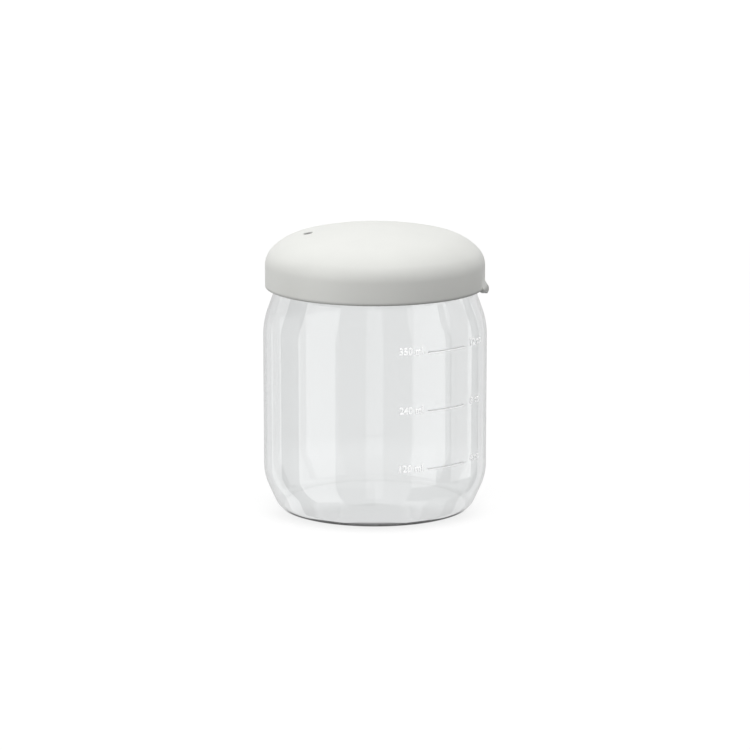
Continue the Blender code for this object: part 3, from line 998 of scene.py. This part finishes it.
# World: white where a ray looks straight, soft grey for the light that it casts, and for
# mirrored rays a studio of large white cards in a dark room, by azimuth from -Y and height in degrees
studio = {
    "skyTop": 0.62,
    "skySide": 0.31,
    "skyRise": (0.0, 0.9),
    "seen": 1.0,
    "room": 0.0,
    "edge": 1.0,
    "cards": {
        "middle": {"from": -9.5, "to": 8, "low": -40, "high": 30, "glow": 0.9},
        "frontLeft": {"from": -41, "to": 0, "low": -16, "high": 90, "glow": 1.25, "soft": 5.0},
        "left": {"from": -74, "to": -41, "low": -49, "high": 40, "glow": 3.3, "soft": 3.0},
        "leftEdge": {"from": -85, "to": -74, "low": -49, "high": 40, "glow": 3.0, "soft": 3.0},
        "leftFar": {"from": -92, "to": -85, "low": -58, "high": 90, "glow": 0.3},
        "sideLeft": {"from": -134, "to": -113, "low": -58, "high": 90, "glow": 1.8},
        "backLeft": {"from": -152, "to": -134, "low": -58, "high": 90, "glow": 1.0},
        "rimLeft": {"from": -182, "to": -152, "low": -58, "high": 90, "glow": 0.88},
        "frontRight": {"from": 0, "to": 38, "low": -58, "high": 90, "glow": 1.4},
        "right": {"from": 38, "to": 66, "low": -17, "high": 40, "glow": 2.6, "soft": 3.0},
        "rightEdge": {"from": 66, "to": 77, "low": -13.7, "high": 40, "glow": 2.6},
        "rightNear": {"from": 85, "to": 93, "low": -15.5, "high": 90, "glow": 1.6, "soft": 2.5},
        "rightFar": {"from": 93, "to": 118, "low": -15.5, "high": 90, "glow": 1.9, "soft": 2.5},
        "backRight": {"from": 133, "to": 150, "low": -58, "high": 90, "glow": 1.05},
        "rimRight": {"from": 150, "to": 182, "low": -58, "high": 90, "glow": 0.82},
        "heelLeft": {"from": -98, "to": -41, "low": -58, "high": -49, "glow": 1.2, "soft": 3.0},
        "heelFront": {"from": -41, "to": 0, "low": -58, "high": -16, "glow": 0.45, "soft": 5.0},
        "heelRight": {"from": 38, "to": 75, "low": -58, "high": -46, "glow": 1.9, "soft": 6.0},
        "heelNear": {"from": 75, "to": 106, "low": -58, "high": -40, "glow": 0.8, "soft": 6.0},
        "heelFar": {"from": 124, "to": 133, "low": -58, "high": -32, "glow": 1.0, "soft": 6.0},
        "table": {"from": -182, "to": 182, "low": -92, "high": -58, "glow": 1.4},
    },
}


def buildWorld():
    s = studio
    world = bpy.data.worlds.new("studio")
    world.use_nodes = True
    f = Finish("studio_world", world.node_tree)
    coords = f.node("TexCoord", "Generated")
    split = f.node("SeparateXYZ", "Z", Vector=coords)
    axes = split.socket.node
    side, front = Wire(f.tree, axes.outputs["X"]), Wire(f.tree, axes.outputs["Y"])
    azimuth = side.math("ARCTAN2", front * -1.0) * math.degrees(1.0)
    height = split.math("ARCSINE") * math.degrees(1.0)
    mirrored = s["room"]
    for card in s["cards"].values():
        across = azimuth.window(card["from"], card["to"], s["edge"])
        upright = height.window(card["low"], card["high"], card.get("soft", s["edge"]))
        mirrored = mirrored + across * upright * card["glow"]
    sky = s["skySide"] + split.smooth(*s["skyRise"]) * (s["skyTop"] - s["skySide"])
    straight = f.node("LightPath", "Is Camera Ray").most(f.node("LightPath", "Is Transmission Ray"))
    bounced = f.node("LightPath", "Glossy Depth") > 0.5
    looked = sky + straight * (s["seen"] - sky)
    strength = looked + bounced * (mirrored - looked)
    back = f.node("Background", Strength=strength)
    out = f.tree.nodes.new("ShaderNodeOutputWorld")
    f.tree.links.new(back.socket, out.inputs["Surface"])
    scene.world = world


buildWorld()

# Lamps: one soft panel above, one tall panel on each side of the camera
lampAim = (0.0, 0.0, 0.06)
lamps = {
    "overhead": {"place": (0.05, -0.1, 1.1), "size": (1.2, 1.2), "power": 8.1},
    "leftPanel": {"place": (-1.25, -0.62, 0.35), "size": (0.75, 1.0), "power": 5.8},
    "rightPanel": {"place": (1.25, -0.72, 0.35), "size": (0.7, 1.0), "power": 0.1},
}


def buildLamps():
    for name, lamp in lamps.items():
        light = bpy.data.lights.new(name, "AREA")
        light.shape = "RECTANGLE"
        light.size, light.size_y = lamp["size"]
        light.energy = lamp["power"]
        holder = bpy.data.objects.new(name, light)
        holder.location = lamp["place"]
        holder.visible_glossy = False
        holder.visible_transmission = False
        aim = Vector(lampAim) - Vector(lamp["place"])
        holder.rotation_euler = aim.to_track_quat("-Z", "Y").to_euler()
        scene.collection.objects.link(holder)


buildLamps()
print("stage and lamps set")

# Camera: fitted to the photographed outline, looking along +Y and 12 degrees down
cameraView = {
    "distance": 1.2435,
    "height": 0.3165,
    "pitch": 11.99,
    "focalPixels": 3186.45,
    "picturePixels": 750.0,
    "sensor": 36.0,
}


def buildCamera():
    c = cameraView
    data = bpy.data.cameras.new("camera")
    data.sensor_width = c["sensor"]
    data.lens = c["focalPixels"] / c["picturePixels"] * c["sensor"]
    data.clip_start = 0.01
    data.clip_end = 100.0
    camera = bpy.data.objects.new("camera", data)
    camera.location = (0.0, -c["distance"], c["height"])
    camera.rotation_euler = (math.radians(90.0 - c["pitch"]), 0.0, 0.0)
    scene.collection.objects.link(camera)
    scene.camera = camera


buildCamera()
scene.view_settings.view_transform = "Standard"

# Clear glass passes light on many times before it leaves
scene.cycles.max_bounces = 24
scene.cycles.glossy_bounces = 16
scene.cycles.transmission_bounces = 24
